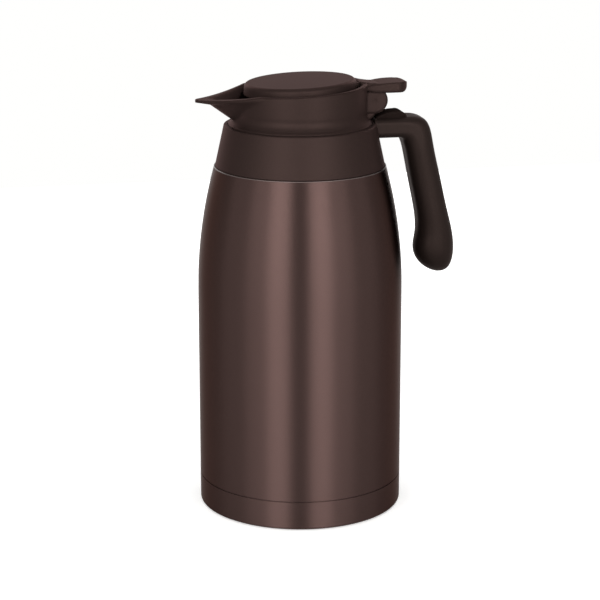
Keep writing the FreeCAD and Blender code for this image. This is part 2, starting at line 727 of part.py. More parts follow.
def make_ears():
    """Two round ears behind the wall, joined to it by short webs."""
    disc = rod_y(EAR_RADIUS, EAR_INNER, EAR_OUTER)
    foot = PIVOT_Z - EAR_RADIUS
    length = PIVOT_X - CHAMBER_RADIUS
    web = Part.makeBox(
        length, EAR_OUTER - EAR_INNER, PIVOT_Z + EAR_WEB_RISE - foot, V(CHAMBER_RADIUS, EAR_INNER, foot))
    return on_both_sides(disc.fuse(web))


def lever_notch():
    """Gap in the back of the rim through which the lever reaches the cap."""
    half = LEVER_NECK_HALF + NOTCH_CLEARANCE
    floor = LEVER_NECK_UNDERSIDE - NOTCH_CLEARANCE
    length = EAR_RADIUS + LID_WALL
    return Part.makeBox(length, 2 * half, ABOVE_ALL - floor, V(TONGUE_END, -half, floor))


def make_stopper_tube():
    bottom = MOUTH_HEIGHT - TUBE_DEPTH
    tube = turned(
        (TUBE_BORE, bottom),
        (TUBE_RADIUS, bottom),
        (TUBE_RADIUS, TUBE_FLANGE_BOTTOM),
        (TUBE_FLANGE_RADIUS, TUBE_FLANGE_BOTTOM),
        (TUBE_FLANGE_RADIUS, FLOOR_BOTTOM),
        (TUBE_RADIUS, FLOOR_BOTTOM),
        (TUBE_RADIUS, RIM_HEIGHT),
        (TUBE_BORE, RIM_HEIGHT),
    )
    above_seat = Part.makeCylinder(LID_RADIUS, 2 * SEAT_DROP, V(0, 0, -SEAT_DROP))
    return tube.cut(tilted(above_seat))


def make_stopper_gasket():
    return ring(TUBE_RADIUS + SEAL_CLEARANCE, TUBE_FLANGE_RADIUS - SEAL_CLEARANCE,
                GASKET_BOTTOM, TUBE_FLANGE_BOTTOM - WELD_GAP)


def make_hinge_pin():
    """Pin pushed in from one side as far as the closed end of the other ear."""
    return rod_y(PIN_RADIUS, -EAR_OUTER + PIN_COVER + PIN_RUNNING, EAR_OUTER - PIN_RUNNING)


def make_lid_spring():
    """Coil round the pin, with one leg up to the lever and one in to the lid's wall."""
    length = SPRING_PITCH * SPRING_TURNS
    path = Part.makeHelix(SPRING_PITCH, length, SPRING_RADIUS)
    start = path.Edges[0].valueAt(path.Edges[0].FirstParameter)
    heading = V(0, 1, SPRING_PITCH / (2 * math.pi * SPRING_RADIUS))
    loop = Part.Wire(Part.makeCircle(SPRING_WIRE, start, heading))
    coil = Part.Wire(path).makePipeShell([loop], True, True)
    coil.rotate(V(), ALONG_X, -90)
    coil.translate(V(PIVOT_X, -length / 2, PIVOT_Z))
    short_leg = PIVOT_OUT - SIDE_CLEARANCE
    up = Part.makeCylinder(SPRING_WIRE, SPRING_LONG_LEG, V(PIVOT_X + SPRING_RADIUS, -length / 2, PIVOT_Z), UP)
    back = Part.makeCylinder(
        SPRING_WIRE, short_leg, V(PIVOT_X, length / 2, PIVOT_Z - SPRING_RADIUS), -ALONG_X)
    print("spring gap between turns", round(SPRING_PITCH - 2 * SPRING_WIRE, 2), "mm")
    return coil.fuse(up).fuse(back)


# Cap and lever
def make_lid_cap():
    ceiling = CAP_TOP - CAP_WALL
    crown_radius = (CAP_TOP_RADIUS ** 2 + CAP_CROWN ** 2) / (2 * CAP_CROWN)
    crown_drop = crown_radius - math.sqrt(crown_radius ** 2 - (CAP_TOP_RADIUS / 2) ** 2)
    peak = CAP_TOP + CAP_CROWN
    bore = CAP_RADIUS - CAP_WALL
    bend = math.sqrt(0.5)
    edge = (CAP_TOP_RADIUS + CAP_EDGE * bend, CAP_SHOULDER + (CAP_TOP - CAP_SHOULDER) * bend)
    shell = turned(
        (0, ceiling),
        (CAP_TOP_RADIUS - CAP_WALL, ceiling),
        (bore, CAP_GAP + LINER_WALL),
        (bore, -CAP_SKIRT),
        (CAP_RADIUS, -CAP_SKIRT),
        (CAP_SHOULDER_RADIUS, CAP_SHOULDER),
        (edge, (CAP_TOP_RADIUS, CAP_TOP)),
        ((CAP_TOP_RADIUS / 2, peak - crown_drop), (0, peak)),
    )
    for boss in lever_screw_bosses():
        shell = shell.fuse(boss)
    for x, y in lever_screw_places():
        shell = shell.cut(Part.makeCylinder(SCREW_RADIUS + SCREW_FIT, ceiling, V(x, y, 0)))
    notch_half = TONGUE_HALF + BODY_CLEARANCE
    notch = Part.makeBox(CAP_RADIUS, 2 * notch_half, CAP_GAP + 2 * CAP_SKIRT,
                         V(TONGUE_START, -notch_half, -2 * CAP_SKIRT))
    return tilted(shell.cut(notch).removeSplitter())


def lever_screw_places():
    """Where the lever's screws stand, in the plane of the rim."""
    x = TONGUE_START + SCREW_INSET
    return [(x, side * SCREW_SPACING / 2) for side in (-1, 1)]


def lever_screw_bosses():
    """Bosses under the cap's ceiling that take the screws."""
    bottom = CAP_GAP + LINER_WALL + SHEET_FIT
    height = CAP_TOP - CAP_WALL / 2 - bottom
    places = lever_screw_places()
    return [Part.makeCylinder(2 * SCREW_RADIUS, height, V(x, y, bottom)) for x, y in places]


def make_cap_liner():
    plate = LINER_RADIUS
    plate_top = CAP_GAP + LINER_WALL
    floor = SEAL_TOP
    wall = LINER_WALL
    liner = turned(
        (0, floor),
        (SEAL_RADIUS, floor),
        (SEAL_RADIUS, floor + wall),
        (BOWL_RADIUS, floor + wall),
        (BOWL_TOP_RADIUS, CAP_GAP),
        (plate, CAP_GAP),
        (plate, plate_top),
        (BOWL_TOP_RADIUS - wall, plate_top),
        (BOWL_RADIUS - wall, floor + wall),
        (0, floor + wall),
    )
    for x, y in lever_screw_places():
        liner = liner.cut(Part.makeCylinder(SCREW_RADIUS + SCREW_FIT, CAP_TOP, V(x, y, 0)))
    return tilted(liner)


def make_cap_foam():
    fit = SHEET_FIT
    floor = SEAL_TOP + LINER_WALL + fit
    top = CAP_TOP - CAP_WALL - fit
    low = BOWL_RADIUS - LINER_WALL - 2 * fit
    high = BOWL_TOP_RADIUS - LINER_WALL - 2 * fit
    return tilted(turned((0, floor), (low, floor), (high, CAP_GAP), (high, top), (0, top)))


def make_cap_seal():
    inner = SEAL_RADIUS - SEAL_WIDTH
    top = SEAL_TOP - WELD_GAP
    return tilted(turned(
        (inner, SEAL_BOTTOM),
        (SEAL_RADIUS, SEAL_BOTTOM),
        (SEAL_RADIUS, top),
        (SEAL_TONGUE_RADIUS, top),
        (SEAL_TONGUE_RADIUS, top - SEAL_TONGUE),
        (inner, top - SEAL_TONGUE),
    ))


def make_seal_retainer():
    """Disc under the bowl with a raised middle, which traps the seal's tongue."""
    rim_top = SEAL_TOP - 2 * WELD_GAP - SEAL_TONGUE
    hub = SEAL_TONGUE_RADIUS - SHEET_FIT
    bottom = rim_top - RETAINER_THICKNESS
    return tilted(turned(
        (0, bottom),
        (RETAINER_RADIUS, bottom),
        (RETAINER_RADIUS, rim_top),
        (hub, rim_top),
        (hub, SEAL_TOP - WELD_GAP),
        (0, SEAL_TOP - WELD_GAP),
    ))


def make_thumb_lever():
    tongue_top = CAP_GAP - SHEET_FIT
    tongue_bottom = tongue_top - TONGUE_THICKNESS
    tongue_flat = lever_screw_places()[0][0] + SCREW_HEAD_RADIUS + SHEET_FIT
    end_x = LEVER_END - LEVER_CORNER
    end_bend = LEVER_CORNER * (1 - math.sqrt(0.5))
    end_z = LEVER_UNDERSIDE + LEVER_CORNER
    top_bend = (LEVER_TOP - end_z) * (1 - math.sqrt(0.5))
    side = prism(
        LEVER_HALF,
        (TONGUE_START, rim_at(TONGUE_START) + tongue_bottom),
        (tongue_flat, rim_at(tongue_flat) + tongue_bottom),
        (TONGUE_END, LEVER_NECK_UNDERSIDE),
        (LEVER_NECK_X, LEVER_NECK_UNDERSIDE),
        (PIVOT_X, LEVER_UNDERSIDE),
        (end_x, LEVER_UNDERSIDE),
        ((LEVER_END - end_bend, LEVER_UNDERSIDE + end_bend), (LEVER_END, end_z)),
        ((LEVER_END - end_bend, LEVER_TOP - top_bend), (end_x, LEVER_TOP)),
        (((LEVER_NECK_X + end_x) / 2, LEVER_TOP - LEVER_DISH), (LEVER_NECK_X, LEVER_NECK_TOP)),
        (TONGUE_END, LEVER_NECK_TOP),
        (TONGUE_END, rim_at(TONGUE_END) + tongue_top),
        (TONGUE_START, rim_at(TONGUE_START) + tongue_top),
    )
    body = side.common(lever_plan())
    recess = EAR_RADIUS + SIDE_CLEARANCE
    body = body.cut(rod_y(recess, -EAR_OUTER - SIDE_CLEARANCE, EAR_OUTER + SIDE_CLEARANCE))
    web_top = PIVOT_Z + recess + SIDE_CLEARANCE
    for knuckle in on_both_sides(make_knuckle(web_top)):
        body = body.fuse(knuckle)
    body = body.cut(rod_y(PIN_RADIUS + PIN_RUNNING, -EAR_OUTER, EAR_OUTER))
    for x, y in lever_screw_places():
        hole = Part.makeCylinder(SCREW_RADIUS + SCREW_FIT, 2 * CAP_TOP, V(x, y, -CAP_TOP))
        body = body.cut(tilted(hole))
    return body.removeSplitter()


def make_knuckle(web_top):
    """Bearing eye between the ears with the web that carries the lever."""
    thickness = EAR_INNER - SIDE_CLEARANCE - KNUCKLE_INNER
    eye = rod_y(KNUCKLE_RADIUS, KNUCKLE_INNER, KNUCKLE_INNER + thickness)
    corner = V(PIVOT_X - KNUCKLE_WEB_HALF, KNUCKLE_INNER, PIVOT_Z)
    web = Part.makeBox(2 * KNUCKLE_WEB_HALF, thickness, web_top - PIVOT_Z, corner)
    return eye.fuse(web)


def lever_plan():
    """Lever seen from above: a narrow tongue, a neck and a paddle with a round end."""
    flare_x = PIVOT_X + EAR_RADIUS
    round_x = LEVER_END - LEVER_ROUND
    bottom = PIVOT_Z
    points = [
        V(TONGUE_START, -TONGUE_HALF, bottom),
        V(TONGUE_END, -TONGUE_HALF, bottom),
        V(LEVER_NECK_X, -LEVER_NECK_HALF, bottom),
        V(flare_x, -LEVER_HALF, bottom),
        V(round_x, -LEVER_HALF, bottom),
    ]
    far_side = [V(p.x, -p.y, p.z) for p in reversed(points)]
    edges = [Part.makeLine(a, b) for a, b in zip(points, points[1:])]
    edges.append(Part.Arc(points[-1], V(LEVER_END, 0, bottom), far_side[0]).toShape())
    edges += [Part.makeLine(a, b) for a, b in zip(far_side, far_side[1:])]
    edges.append(Part.makeLine(far_side[-1], points[0]))
    return Part.Face(Part.Wire(edges)).extrude(V(0, 0, ABOVE_ALL - bottom))


def make_lever_screws():
    head_top = CAP_GAP - SHEET_FIT - TONGUE_THICKNESS - SHEET_FIT
    screws = []
    for x, y in lever_screw_places():
        head = Part.makeCylinder(SCREW_HEAD_RADIUS, SCREW_HEAD, V(x, y, head_top - SCREW_HEAD))
        length = CAP_TOP - CAP_WALL - SHEET_FIT - head_top
        shank = Part.makeCylinder(SCREW_RADIUS, length, V(x, y, head_top))
        screws.append(tilted(head.fuse(shank).removeSplitter()))
    return Part.makeCompound(screws)


PIECES = {
    "outer_shell": make_outer_shell,
    "shell_neck": make_shell_neck,
    "base_cap": make_base_cap,
    "outer_bottom": make_outer_bottom,
    "vacuum_seal": make_vacuum_seal,
    "getter": make_getter,
    "inner_flask": make_inner_flask,
    "flask_neck": make_flask_neck,
    "foil_wrap": make_foil_wrap,
    "collar": make_collar,
    "collar_gasket": make_collar_gasket,
    "handle": make_handle,
    "handle_screws": make_handle_screws,
    "lever_stop_pad": make_stop_pad,
    "lid_ring": make_lid_ring,
    "stopper_tube": make_stopper_tube,
    "stopper_gasket": make_stopper_gasket,
    "hinge_pin": make_hinge_pin,
    "lid_spring": make_lid_spring,
    "lid_cap": make_lid_cap,
    "cap_liner": make_cap_liner,
    "cap_foam": make_cap_foam,
    "cap_seal": make_cap_seal,
    "seal_retainer": make_seal_retainer,
    "thumb_lever": make_thumb_lever,
    "lever_screws": make_lever_screws,
}

for name, make in PIECES.items():
    make().exportStep(f"parts/{name}.step")
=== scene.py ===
import math
import bmesh
import bpy
from mathutils import Matrix, Vector


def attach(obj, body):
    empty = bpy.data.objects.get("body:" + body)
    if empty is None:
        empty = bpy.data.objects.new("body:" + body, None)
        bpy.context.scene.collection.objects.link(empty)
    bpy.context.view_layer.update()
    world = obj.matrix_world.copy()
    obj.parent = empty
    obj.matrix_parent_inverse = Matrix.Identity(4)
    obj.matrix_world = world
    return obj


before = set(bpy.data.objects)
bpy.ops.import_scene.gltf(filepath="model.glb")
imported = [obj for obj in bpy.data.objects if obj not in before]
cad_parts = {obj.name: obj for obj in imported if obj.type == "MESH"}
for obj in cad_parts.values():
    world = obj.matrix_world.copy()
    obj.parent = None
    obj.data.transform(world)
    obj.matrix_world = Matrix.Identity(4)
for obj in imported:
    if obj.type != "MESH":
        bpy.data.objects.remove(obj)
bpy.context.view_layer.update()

# Camera: a long lens about 1.4 m from the jug and 0.5 m above the table, looking 15 degrees down.
# The handle points to the right and 12 degrees away from it.
camera_distance = 1.350
camera_height = 0.5045
camera_turn = math.radians(12.0)
camera_pitch = 0.262215
camera_lens = 121.512
camera_sensor = 36.0
camera_reach = 50.0
camera = bpy.data.objects.new("camera", bpy.data.cameras.new("camera"))
camera.data.sensor_width = camera_sensor
camera.data.lens = camera_lens
camera.data.clip_end = camera_reach
camera.location = (-camera_distance * math.sin(camera_turn),
                   -camera_distance * math.cos(camera_turn), camera_height)
camera.rotation_euler = (math.radians(90.0) - camera_pitch, 0.0, -camera_turn)
bpy.context.scene.collection.objects.link(camera)
bpy.context.scene.camera = camera
bpy.context.scene.view_settings.view_transform = "Standard"

# World: a white studio as the camera sees it. Glossy surfaces see it white behind the jug and dim
# behind the camera, and as light on the jug it is dimmer still.
studio_white = (1.0, 1.0, 0.99, 1.0)
light_white = (1.0, 1.0, 1.0, 1.0)
light_strength = 0.35
glow_front = 0.50
glow_back = 1.0
glow_reach = 0.6
world = bpy.data.worlds.new("studio")
world.use_nodes = True
bpy.context.scene.world = world
tree = world.node_tree
seen = tree.nodes["Background"]
seen.inputs["Color"].default_value = studio_white
given = tree.nodes.new("ShaderNodeBackground")
given.inputs["Color"].default_value = light_white
given.inputs["Strength"].default_value = light_strength
place = tree.nodes.new("ShaderNodeTexCoord")
behind = tree.nodes.new("ShaderNodeVectorMath")
behind.operation = "DOT_PRODUCT"
behind.inputs[1].default_value = (math.sin(camera_turn), math.cos(camera_turn), 0.0)
tree.links.new(place.outputs["Generated"], behind.inputs[0])
glow = tree.nodes.new("ShaderNodeMapRange")
glow.inputs["From Min"].default_value = -glow_reach
glow.inputs["From Max"].default_value = glow_reach
glow.inputs["To Min"].default_value = glow_front
glow.inputs["To Max"].default_value = glow_back
tree.links.new(behind.outputs["Value"], glow.inputs["Value"])
path = tree.nodes.new("ShaderNodeLightPath")
direct = tree.nodes.new("ShaderNodeMath")
direct.operation = "MAXIMUM"
tree.links.new(path.outputs["Is Camera Ray"], direct.inputs[0])
tree.links.new(path.outputs["Is Transmission Ray"], direct.inputs[1])
brightness = tree.nodes.new("ShaderNodeMath")
brightness.operation = "MAXIMUM"
tree.links.new(direct.outputs[0], brightness.inputs[0])
tree.links.new(glow.outputs[0], brightness.inputs[1])
tree.links.new(brightness.outputs[0], seen.inputs["Strength"])
any_of = tree.nodes.new("ShaderNodeMath")
any_of.operation = "MAXIMUM"
tree.links.new(direct.outputs[0], any_of.inputs[0])
tree.links.new(path.outputs["Is Glossy Ray"], any_of.inputs[1])
choice = tree.nodes.new("ShaderNodeMixShader")
tree.links.new(any_of.outputs[0], choice.inputs[0])
tree.links.new(given.outputs[0], choice.inputs[1])
tree.links.new(seen.outputs[0], choice.inputs[2])
tree.links.new(choice.outputs[0], tree.nodes["World Output"].inputs["Surface"])

# Floor: a pale matt table top, lifted to white where the camera or a glossy surface sees it, and
# more so far from the jug. The jug's shadow stays on it.
floor_half = 1.1
floor_gap = 0.0002
floor_colour = (0.86, 0.86, 0.855, 1.0)
floor_roughness = 0.9
lift_near = 0.42
lift_far = 0.95
lift_start = 0.20
lift_end = 1.10
bm = bmesh.new()
bmesh.ops.create_grid(bm, x_segments=1, y_segments=1, size=floor_half)
bmesh.ops.translate(bm, vec=(0.0, 0.0, -floor_gap), verts=bm.verts[:])
floor = bpy.data.objects.new("floor", bpy.data.meshes.new("floor"))
bm.to_mesh(floor.data)
bm.free()
bpy.context.scene.collection.objects.link(floor)
table_top = bpy.data.materials.new("table_top")
table_top.use_nodes = True
tree = table_top.node_tree
shader = tree.nodes["Principled BSDF"]
shader.inputs["Base Color"].default_value = floor_colour
shader.inputs["Roughness"].default_value = floor_roughness
shader.inputs["Specular IOR Level"].default_value = 0.0
shader.inputs["Emission Color"].default_value = studio_white
path = tree.nodes.new("ShaderNodeLightPath")
either = tree.nodes.new("ShaderNodeMath")
either.operation = "MAXIMUM"
tree.links.new(path.outputs["Is Camera Ray"], either.inputs[0])
tree.links.new(path.outputs["Is Glossy Ray"], either.inputs[1])
any_of = tree.nodes.new("ShaderNodeMath")
any_of.operation = "MAXIMUM"
tree.links.new(either.outputs[0], any_of.inputs[0])
tree.links.new(path.outputs["Is Transmission Ray"], any_of.inputs[1])
place = tree.nodes.new("ShaderNodeTexCoord")
away = tree.nodes.new("ShaderNodeVectorMath")
away.operation = "LENGTH"
tree.links.new(place.outputs["Object"], away.inputs[0])
rise = tree.nodes.new("ShaderNodeMapRange")
rise.inputs["From Min"].default_value = lift_start
rise.inputs["From Max"].default_value = lift_end
rise.inputs["To Min"].default_value = lift_near
rise.inputs["To Max"].default_value = lift_far
tree.links.new(away.outputs["Value"], rise.inputs["Value"])
lift = tree.nodes.new("ShaderNodeMath")
lift.operation = "MULTIPLY"
tree.links.new(any_of.outputs[0], lift.inputs[0])
tree.links.new(rise.outputs[0], lift.inputs[1])
tree.links.new(lift.outputs[0], shader.inputs["Emission Strength"])
floor.data.materials.append(table_top)

# Lamps: three soft boxes on each side of the camera, above the jug and dimmer further round, two
# behind the jug and a wide one overhead. Upright bright cards below the boxes show only in glossy
# surfaces.
box_distance = 1.2
box_middle = 0.85
box_tilt = math.radians(30.0)
card_distance = 1.15
card_middle = 0.42
card_tilt = 0.0
lamp_height = 0.8
overhead_size = 1.4
overhead_height = 1.7
overhead_radiance = 2.0
# Each set: name, turn from the camera in degrees, width, radiance of the boxes and of the cards.
lamp_sets = (("near", 23.5, 0.50, 2.0, 12.5), ("middle", 49.0, 0.50, 1.3, 4.2),
             ("far", 78.0, 0.70, 0.6, 1.2), ("back", 150.0, 0.50, 1.6, 0.4))
lamps = []
for name, turn, width, box_radiance, card_radiance in lamp_sets:
    for side, sign in (("left", -1.0), ("right", 1.0)):
        heading = camera_turn + sign * math.radians(turn)
        lamps.append((name + "_box_" + side, heading, width, box_radiance,
                      box_distance, box_middle, box_tilt))
        lamps.append((name + "_card_" + side, heading, width, card_radiance,
                      card_distance, card_middle, card_tilt))
for name, heading, width, radiance, distance, middle, tilt in lamps:
    light = bpy.data.lights.new(name, "AREA")
    light.shape = "RECTANGLE"
    light.size = width
    light.size_y = lamp_height
    light.energy = radiance * math.pi * width * lamp_height
    lamp = bpy.data.objects.new(name, light)
    lamp.location = (-distance * math.sin(heading), -distance * math.cos(heading), middle)
    lamp.rotation_euler = (math.radians(90.0) - tilt, 0.0, -heading)
    lamp.visible_camera = False
    lamp.visible_diffuse = "card" not in name
    bpy.context.scene.collection.objects.link(lamp)
light = bpy.data.lights.new("overhead", "AREA")
light.size = overhead_size
light.energy = overhead_radiance * math.pi * overhead_size ** 2
lamp = bpy.data.objects.new("overhead", light)
lamp.location = (0.0, 0.0, overhead_height)
lamp.visible_camera = False
bpy.context.scene.collection.objects.link(lamp)

# Outer shell and base cap: deep-drawn steel, turned and polished round the axis, then sprayed
# with a brown metallic lacquer. The polishing lines stretch its reflections upwards.
lacquer_tint = (0.52, 0.48, 0.47, 1.0)
lacquer_stretch = 0.95
lacquer_stretch_turn = 0.25
flake_scale = 2400.0
flake_brown = (0.051, 0.0314, 0.0284, 1.0)
gap_brown = (0.043, 0.0265, 0.0240, 1.0)
gap_start = 0.7
peel_scale = 420.0
peel_detail = 2.0
peel_strength = 0.06
peel_depth = 0.0002
lacquer_smooth = 0.44
lacquer_rough = 0.50
lacquer = bpy.data.materials.new("lacquered_steel")
lacquer.use_nodes = True
tree = lacquer.node_tree
shader = tree.nodes["Principled BSDF"]
shader.inputs["Metallic"].default_value = 1.0
shader.inputs["Specular Tint"].default_value = lacquer_tint
shader.inputs["Anisotropic"].default_value = lacquer_stretch
shader.inputs["Anisotropic Rotation"].default_value = lacquer_stretch_turn
place = tree.nodes.new("ShaderNodeTexCoord")
round_axis = tree.nodes.new("ShaderNodeTangent")
round_axis.direction_type = "RADIAL"
round_axis.axis = "Z"
tree.links.new(round_axis.outputs[0], shader.inputs["Tangent"])
flakes = tree.nodes.new("ShaderNodeTexVoronoi")
flakes.inputs["Scale"].default_value = flake_scale
tree.links.new(place.outputs["Object"], flakes.inputs["Vector"])
browns = tree.nodes.new("ShaderNodeValToRGB")
browns.color_ramp.elements[0].color = flake_brown
browns.color_ramp.elements[1].color = gap_brown
browns.color_ramp.elements[1].position = gap_start
tree.links.new(flakes.outputs["Distance"], browns.inputs[0])
tree.links.new(browns.outputs[0], shader.inputs["Base Color"])
peel = tree.nodes.new("ShaderNodeTexNoise")
peel.inputs["Scale"].default_value = peel_scale
peel.inputs["Detail"].default_value = peel_detail
tree.links.new(place.outputs["Object"], peel.inputs["Vector"])
satin = tree.nodes.new("ShaderNodeMapRange")
satin.inputs["To Min"].default_value = lacquer_smooth
satin.inputs["To Max"].default_value = lacquer_rough
tree.links.new(peel.outputs[0], satin.inputs["Value"])
tree.links.new(satin.outputs[0], shader.inputs["Roughness"])
skin = tree.nodes.new("ShaderNodeBump")
skin.inputs["Strength"].default_value = peel_strength
skin.inputs["Distance"].default_value = peel_depth
tree.links.new(peel.outputs[0], skin.inputs["Height"])
tree.links.new(skin.outputs[0], shader.inputs["Normal"])
for name in ("outer_shell", "base_cap"):
    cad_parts[name].data.materials.clear()
    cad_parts[name].data.materials.append(lacquer)

# Rolled edge of the shell: the turned-in rim below the collar, a fine bead round the seam. It
# reflects the lamps, and its pale browns are also painted highlight, for the fine pale line of
# light along the seam.
edge_radius = 0.05805
edge_height = 0.23690
edge_bead = 0.00042
edge_sides = 10
edge_steps = 180
edge_roughness = 0.4
seam_highlight_mottle_scale = 300.0
# Painted highlight: both browns are paler than the shell's lacquer, so the bead shows as a bright
# line.
seam_highlight_dim_brown = (0.052, 0.0392, 0.0370, 1.0)
seam_highlight_pale_brown = (0.078, 0.0600, 0.0567, 1.0)
bm = bmesh.new()
bead = bmesh.ops.create_circle(bm, segments=edge_sides, radius=edge_bead)
bmesh.ops.rotate(bm, verts=bead["verts"], cent=(0.0, 0.0, 0.0),
                 matrix=Matrix.Rotation(math.pi / 2.0, 3, "X"))
bmesh.ops.translate(bm, verts=bead["verts"], vec=(edge_radius, 0.0, edge_height))
bmesh.ops.spin(bm, geom=bm.verts[:] + bm.edges[:], cent=(0.0, 0.0, 0.0), axis=(0.0, 0.0, 1.0),
               angle=2.0 * math.pi, steps=edge_steps, use_merge=True)
bmesh.ops.recalc_face_normals(bm, faces=bm.faces[:])
for face in bm.faces:
    face.smooth = True
edge = bpy.data.objects.new("shell_edge", bpy.data.meshes.new("shell_edge"))
bm.to_mesh(edge.data)
bm.free()
bpy.context.scene.collection.objects.link(edge)
seam_highlight_lacquer = bpy.data.materials.new("seam_highlight_lacquer")
seam_highlight_lacquer.use_nodes = True
tree = seam_highlight_lacquer.node_tree
shader = tree.nodes["Principled BSDF"]
shader.inputs["Metallic"].default_value = 1.0
shader.inputs["Roughness"].default_value = edge_roughness
place = tree.nodes.new("ShaderNodeTexCoord")
seam_highlight_mottle = tree.nodes.new("ShaderNodeTexNoise")
seam_highlight_mottle.inputs["Scale"].default_value = seam_highlight_mottle_scale
tree.links.new(place.outputs["Object"], seam_highlight_mottle.inputs["Vector"])
# Painted highlight: the noise mixes the bead's two pale browns at random.
browns = tree.nodes.new("ShaderNodeValToRGB")
browns.color_ramp.elements[0].color = seam_highlight_dim_brown
browns.color_ramp.elements[1].color = seam_highlight_pale_brown
tree.links.new(seam_highlight_mottle.outputs[0], browns.inputs[0])
tree.links.new(browns.outputs[0], shader.inputs["Base Color"])
edge.data.materials.append(seam_highlight_lacquer)
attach(edge, "jug")

# Bare steel: the necks, flask, bottom, port plate, pin, spring and screws. The turned pieces keep
# fine lines round the axis from their polishing.
line_scale = 2600.0
line_detail = 3.0
line_strength = 0.10
line_depth = 0.0001
steel_dark = (0.47, 0.46, 0.45, 1.0)
steel_light = (0.62, 0.61, 0.59, 1.0)
steel_smooth = 0.20
steel_rough = 0.36
steel = bpy.data.materials.new("bare_steel")
steel.use_nodes = True
tree = steel.node_tree
shader = tree.nodes["Principled BSDF"]
shader.inputs["Metallic"].default_value = 1.0
place = tree.nodes.new("ShaderNodeTexCoord")
split = tree.nodes.new("ShaderNodeSeparateXYZ")
tree.links.new(place.outputs["Object"], split.inputs[0])
flat = tree.nodes.new("ShaderNodeCombineXYZ")
tree.links.new(split.outputs["X"], flat.inputs["X"])
tree.links.new(split.outputs["Y"], flat.inputs["Y"])
reach = tree.nodes.new("ShaderNodeVectorMath")
reach.operation = "LENGTH"
tree.links.new(flat.outputs[0], reach.inputs[0])
ringed = tree.nodes.new("ShaderNodeCombineXYZ")
tree.links.new(reach.outputs["Value"], ringed.inputs["X"])
tree.links.new(split.outputs["Z"], ringed.inputs["Z"])
lines = tree.nodes.new("ShaderNodeTexNoise")
lines.inputs["Scale"].default_value = line_scale
lines.inputs["Detail"].default_value = line_detail
tree.links.new(ringed.outputs[0], lines.inputs["Vector"])
shades = tree.nodes.new("ShaderNodeValToRGB")
shades.color_ramp.elements[0].color = steel_dark
shades.color_ramp.elements[1].color = steel_light
tree.links.new(lines.outputs[0], shades.inputs[0])
tree.links.new(shades.outputs[0], shader.inputs["Base Color"])
polish = tree.nodes.new("ShaderNodeMapRange")
polish.inputs["To Min"].default_value = steel_smooth
polish.inputs["To Max"].default_value = steel_rough
tree.links.new(lines.outputs[0], polish.inputs["Value"])
tree.links.new(polish.outputs[0], shader.inputs["Roughness"])
grooves = tree.nodes.new("ShaderNodeBump")
grooves.inputs["Strength"].default_value = line_strength
grooves.inputs["Distance"].default_value = line_depth
tree.links.new(lines.outputs[0], grooves.inputs["Height"])
tree.links.new(grooves.outputs[0], shader.inputs["Normal"])
for name in ("shell_neck", "inner_flask", "flask_neck", "outer_bottom", "vacuum_seal", "hinge_pin",
             "lid_spring", "handle_screws", "lever_screws"):
    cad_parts[name].data.materials.clear()
    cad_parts[name].data.materials.append(steel)

# Getter: a pressed pellet of dark porous metal, welded to the inner vessel's bottom. It binds the
# gas that is left in the vacuum space.
pellet_metal = 0.8
pellet_roughness = 0.65
pellet_scale = 3000.0
pellet_grain = (0.22, 0.21, 0.20, 1.0)
pellet_pore = (0.08, 0.08, 0.08, 1.0)
pellet = bpy.data.materials.new("getter_metal")
pellet.use_nodes = True
tree = pellet.node_tree
shader = tree.nodes["Principled BSDF"]
shader.inputs["Metallic"].default_value = pellet_metal
shader.inputs["Roughness"].default_value = pellet_roughness
place = tree.nodes.new("ShaderNodeTexCoord")
grains = tree.nodes.new("ShaderNodeTexVoronoi")
grains.inputs["Scale"].default_value = pellet_scale
tree.links.new(place.outputs["Object"], grains.inputs["Vector"])
shades = tree.nodes.new("ShaderNodeValToRGB")
shades.color_ramp.elements[0].color = pellet_grain
shades.color_ramp.elements[1].color = pellet_pore
tree.links.new(grains.outputs["Distance"], shades.inputs[0])
tree.links.new(shades.outputs[0], shader.inputs["Base Color"])
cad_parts["getter"].data.materials.clear()
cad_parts["getter"].data.materials.append(pellet)

# Foil: thin aluminium wrapped round the inner vessel before the outer shell goes over it, lightly
# creased. It throws heat back across the vacuum space.
foil_roughness = 0.25
crease_scale = 90.0
crease_detail = 5.0
crease_strength = 0.5
crease_depth = 0.001
foil_dark = (0.72, 0.72, 0.72, 1.0)
foil_light = (0.84, 0.84, 0.85, 1.0)
foil = bpy.data.materials.new("foil")
foil.use_nodes = True
tree = foil.node_tree
shader = tree.nodes["Principled BSDF"]
shader.inputs["Metallic"].default_value = 1.0
shader.inputs["Roughness"].default_value = foil_roughness
place = tree.nodes.new("ShaderNodeTexCoord")
creases = tree.nodes.new("ShaderNodeTexNoise")
creases.inputs["Scale"].default_value = crease_scale
creases.inputs["Detail"].default_value = crease_detail
tree.links.new(place.outputs["Object"], creases.inputs["Vector"])
shades = tree.nodes.new("ShaderNodeValToRGB")
shades.color_ramp.elements[0].color = foil_dark
shades.color_ramp.elements[1].color = foil_light
tree.links.new(creases.outputs[0], shades.inputs[0])
tree.links.new(shades.outputs[0], shader.inputs["Base Color"])
folds = tree.nodes.new("ShaderNodeBump")
folds.inputs["Strength"].default_value = crease_strength
folds.inputs["Distance"].default_value = crease_depth
tree.links.new(creases.outputs[0], folds.inputs["Height"])
tree.links.new(folds.outputs[0], shader.inputs["Normal"])
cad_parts["foil_wrap"].data.materials.clear()
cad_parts["foil_wrap"].data.materials.append(foil)

